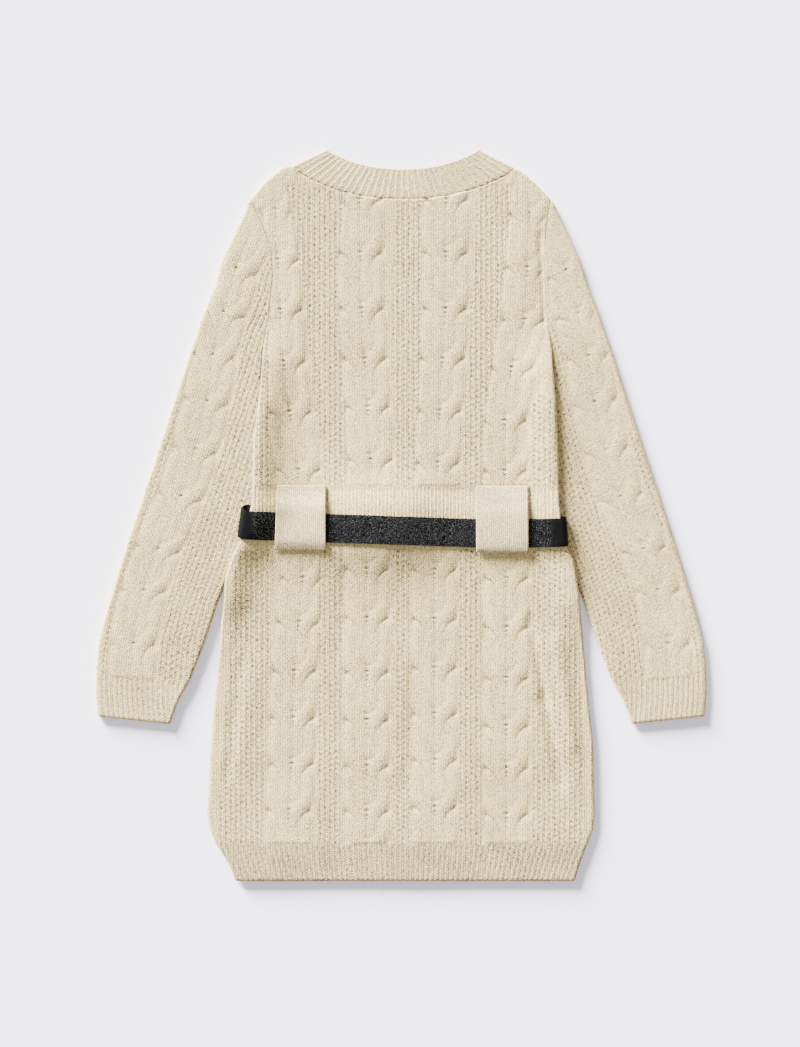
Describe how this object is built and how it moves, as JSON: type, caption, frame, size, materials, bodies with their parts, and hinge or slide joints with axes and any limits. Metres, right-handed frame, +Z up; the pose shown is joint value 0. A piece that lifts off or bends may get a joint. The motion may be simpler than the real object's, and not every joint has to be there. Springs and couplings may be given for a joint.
{
  "type": "sweater dress",
  "caption": "Long-sleeved cable-knit sweater dress with a ribbed neckband, laid flat with its back up, and a black belt through knitted loops.",
  "frame": {"origin": "centre of the underside of the laid-out dress, on the surface that it lies on", "axes": "+Z up out of the surface, +Y towards the neck, +X towards the wearer's right"},
  "size_m": [0.669, 0.8013, 0.0201],
  "materials": {
    "cream_knit": "matte chunky cotton-wool knit, cream",
    "fine_knit": "matte fine plain knit, pale cream",
    "black_leather": "pebble-grained black leather look, soft sheen",
    "dark_metal": "dark satin metal"
  },
  "bodies": {
    "root": {"back_panel": "cream_knit", "belt_keeper": "black_leather", "belt_loop_left": "fine_knit", "belt_loop_right": "fine_knit", "belt_strap": "black_leather", "buckle_frame": "dark_metal", "buckle_prong": "dark_metal", "front_panel": "cream_knit", "neckband": "cream_knit", "sleeve_left": "cream_knit", "sleeve_right": "cream_knit"}
  },
  "joints": []
}
